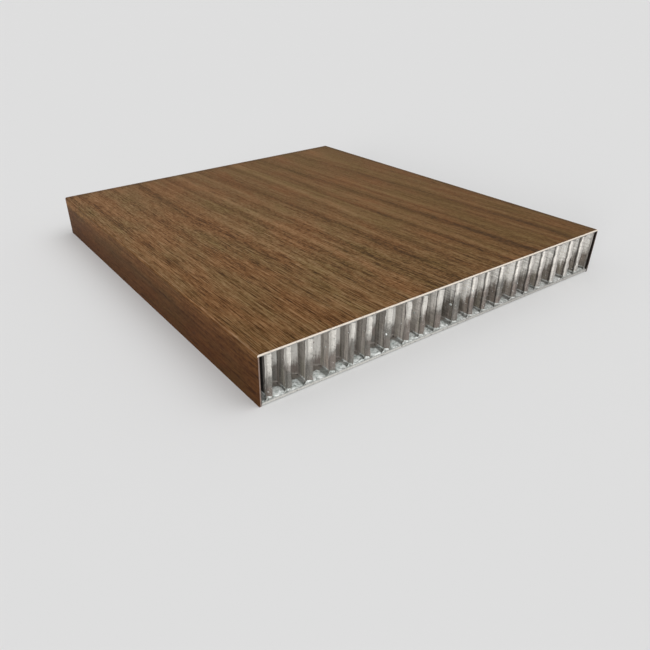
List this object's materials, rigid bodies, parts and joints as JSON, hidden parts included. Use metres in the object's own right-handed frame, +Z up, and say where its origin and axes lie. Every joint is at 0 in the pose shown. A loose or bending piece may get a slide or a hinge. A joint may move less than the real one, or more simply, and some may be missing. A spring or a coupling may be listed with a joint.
{
  "type": "aluminium honeycomb sandwich panel sample",
  "caption": "Flat panel sample: a folded aluminium face sheet with a wood-look finish over an expanded foil honeycomb core and a flat back sheet, sawn open along one edge.",
  "frame": {"origin": "middle of the footprint, on the surface that the flange edges rest on", "axes": "+Z up through the panel to the wood-look face, +Y from the sawn open edge to the folded back edge, +X to the right along the sawn edge"},
  "size_m": [0.175, 0.195, 0.02],
  "materials": {
    "face_sheet": "wood-look film outside, bare metal inside and at the cut",
    "back_sheet": "mill",
    "foil": "mill foil, creased at the cut",
    "bond_film": "cured adhesive"
  },
  "bodies": {
    "root": {"face_sheet": "face_sheet", "face_bond_film": "bond_film", "core_ribbon_01": "foil", "core_ribbon_02": "foil", "core_ribbon_03": "foil", "core_ribbon_04": "foil", "core_ribbon_05": "foil", "core_ribbon_06": "foil", "core_ribbon_07": "foil", "core_ribbon_08": "foil", "core_ribbon_09": "foil", "core_ribbon_10": "foil", "core_ribbon_11": "foil", "core_ribbon_12": "foil", "core_ribbon_13": "foil", "core_ribbon_14": "foil", "core_ribbon_15": "foil", "core_ribbon_16": "foil", "core_ribbon_17": "foil", "core_ribbon_18": "foil", "core_ribbon_19": "foil", "core_ribbon_20": "foil", "core_ribbon_21": "foil", "core_ribbon_22": "foil", "core_ribbon_23": "foil", "core_ribbon_24": "foil", "core_ribbon_25": "foil", "core_ribbon_26": "foil", "core_ribbon_27": "foil", "core_ribbon_28": "foil", "core_ribbon_29": "foil", "core_ribbon_30": "foil", "core_ribbon_31": "foil", "core_ribbon_32": "foil", "core_ribbon_33": "foil", "core_ribbon_34": "foil", "core_ribbon_35": "foil", "core_ribbon_36": "foil", "core_ribbon_37": "foil", "core_ribbon_38": "foil", "core_ribbon_39": "foil", "core_ribbon_40": "foil", "core_ribbon_41": "foil", "back_bond_film": "bond_film", "back_sheet": "back_sheet"}
  },
  "joints": []
}
